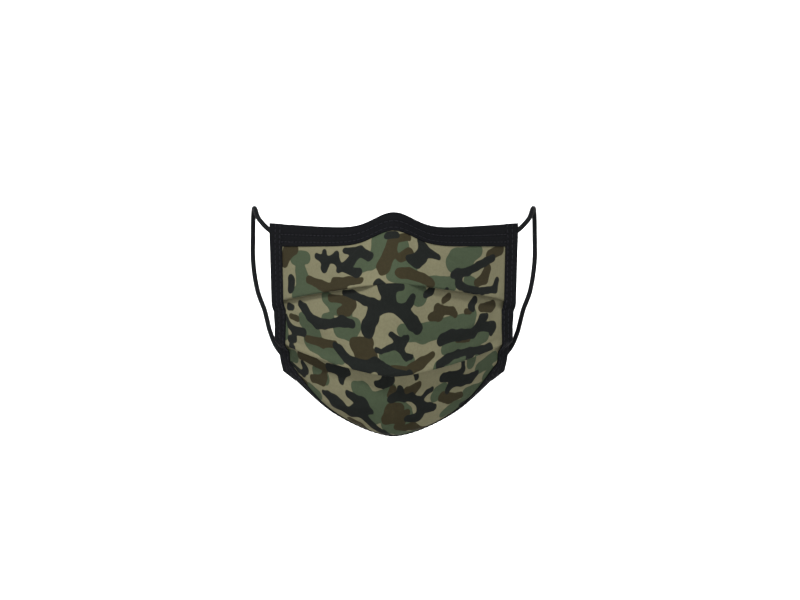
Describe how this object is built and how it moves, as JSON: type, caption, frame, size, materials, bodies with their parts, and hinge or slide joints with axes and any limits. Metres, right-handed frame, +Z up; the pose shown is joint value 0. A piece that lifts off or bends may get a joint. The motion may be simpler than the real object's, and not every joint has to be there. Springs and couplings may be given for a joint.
{
  "type": "face mask",
  "caption": "Pleated cloth face mask in its worn shape, woodland camouflage with black bound edges, nose wire and stretched elastic ear loops.",
  "frame": {"origin": "seat on the bridge of the nose: inner face of the top binding, half way down it, on the centre line", "axes": "+Z up, -Y to the mask's front, +Y towards the wearer's head, +X to the wearer's left"},
  "size_m": [0.164, 0.1339, 0.1274],
  "materials": {
    "camo_cloth": "printed fine plain weave, soft satin",
    "filter_cloth": "white non-woven felt",
    "lining_cloth": "black cotton jersey, matt",
    "binding_tape": "black folded twill tape",
    "thread": "black polyester sewing thread",
    "ear_elastic": "black braided round elastic",
    "nose_wire": "plain soft strip"
  },
  "bodies": {
    "mask": {"outer_cloth": "camo_cloth", "filter_layer": "filter_cloth", "inner_lining": "lining_cloth", "top_binding": "binding_tape", "top_stitching": "thread", "nose_wire": "nose_wire", "left_binding_upper": "binding_tape", "left_stitching_upper": "thread", "left_tack_upper": "thread", "right_binding_upper": "binding_tape", "right_stitching_upper": "thread", "right_tack_upper": "thread"},
    "chin_panel": {"outer_cloth_chin": "camo_cloth", "filter_layer_chin": "filter_cloth", "inner_lining_chin": "lining_cloth", "lower_pleat_fold": "camo_cloth", "bottom_binding": "binding_tape", "bottom_stitching": "thread", "left_binding_lower": "binding_tape", "left_stitching_lower": "thread", "left_tack_lower": "thread", "right_binding_lower": "binding_tape", "right_stitching_lower": "thread", "right_tack_lower": "thread"},
    "left_ear_loop": {"left_cord_upper_leg": "ear_elastic", "left_cord_lower_leg": "ear_elastic"},
    "left_loop_bow": {"left_cord_bow": "ear_elastic"},
    "right_ear_loop": {"right_cord_upper_leg": "ear_elastic", "right_cord_lower_leg": "ear_elastic"},
    "right_loop_bow": {"right_cord_bow": "ear_elastic"}
  },
  "joints": [
    {"name": "chin_pleat_open", "type": "hinge", "parent": "mask", "child": "chin_panel", "pos_m": [0, 0.049, -0.06], "axis": [1, 0, 0], "range_deg": [-4, 6]},
    {"name": "left_loop_swing", "type": "hinge", "parent": "mask", "child": "left_ear_loop", "pos_m": [0.06286, 0.05852, -0.03973], "axis": [0.1105, 0.0409, 0.993], "range_deg": [-125, 50]},
    {"name": "left_loop_stretch", "type": "slide", "parent": "left_ear_loop", "child": "left_loop_bow", "axis": [0.2, 0.9698, 0.14], "range_m": [-0.012, 0.025], "stiffness_N_per_m": 50, "deforming": ["left_cord_upper_leg", "left_cord_lower_leg"]},
    {"name": "right_loop_swing", "type": "hinge", "parent": "mask", "child": "right_ear_loop", "pos_m": [-0.06286, 0.05852, -0.03973], "axis": [0.1105, -0.0409, -0.993], "range_deg": [-125, 50]},
    {"name": "right_loop_stretch", "type": "slide", "parent": "right_ear_loop", "child": "right_loop_bow", "axis": [-0.2, 0.9698, 0.14], "range_m": [-0.012, 0.025], "stiffness_N_per_m": 50, "deforming": ["right_cord_upper_leg", "right_cord_lower_leg"]}
  ]
}
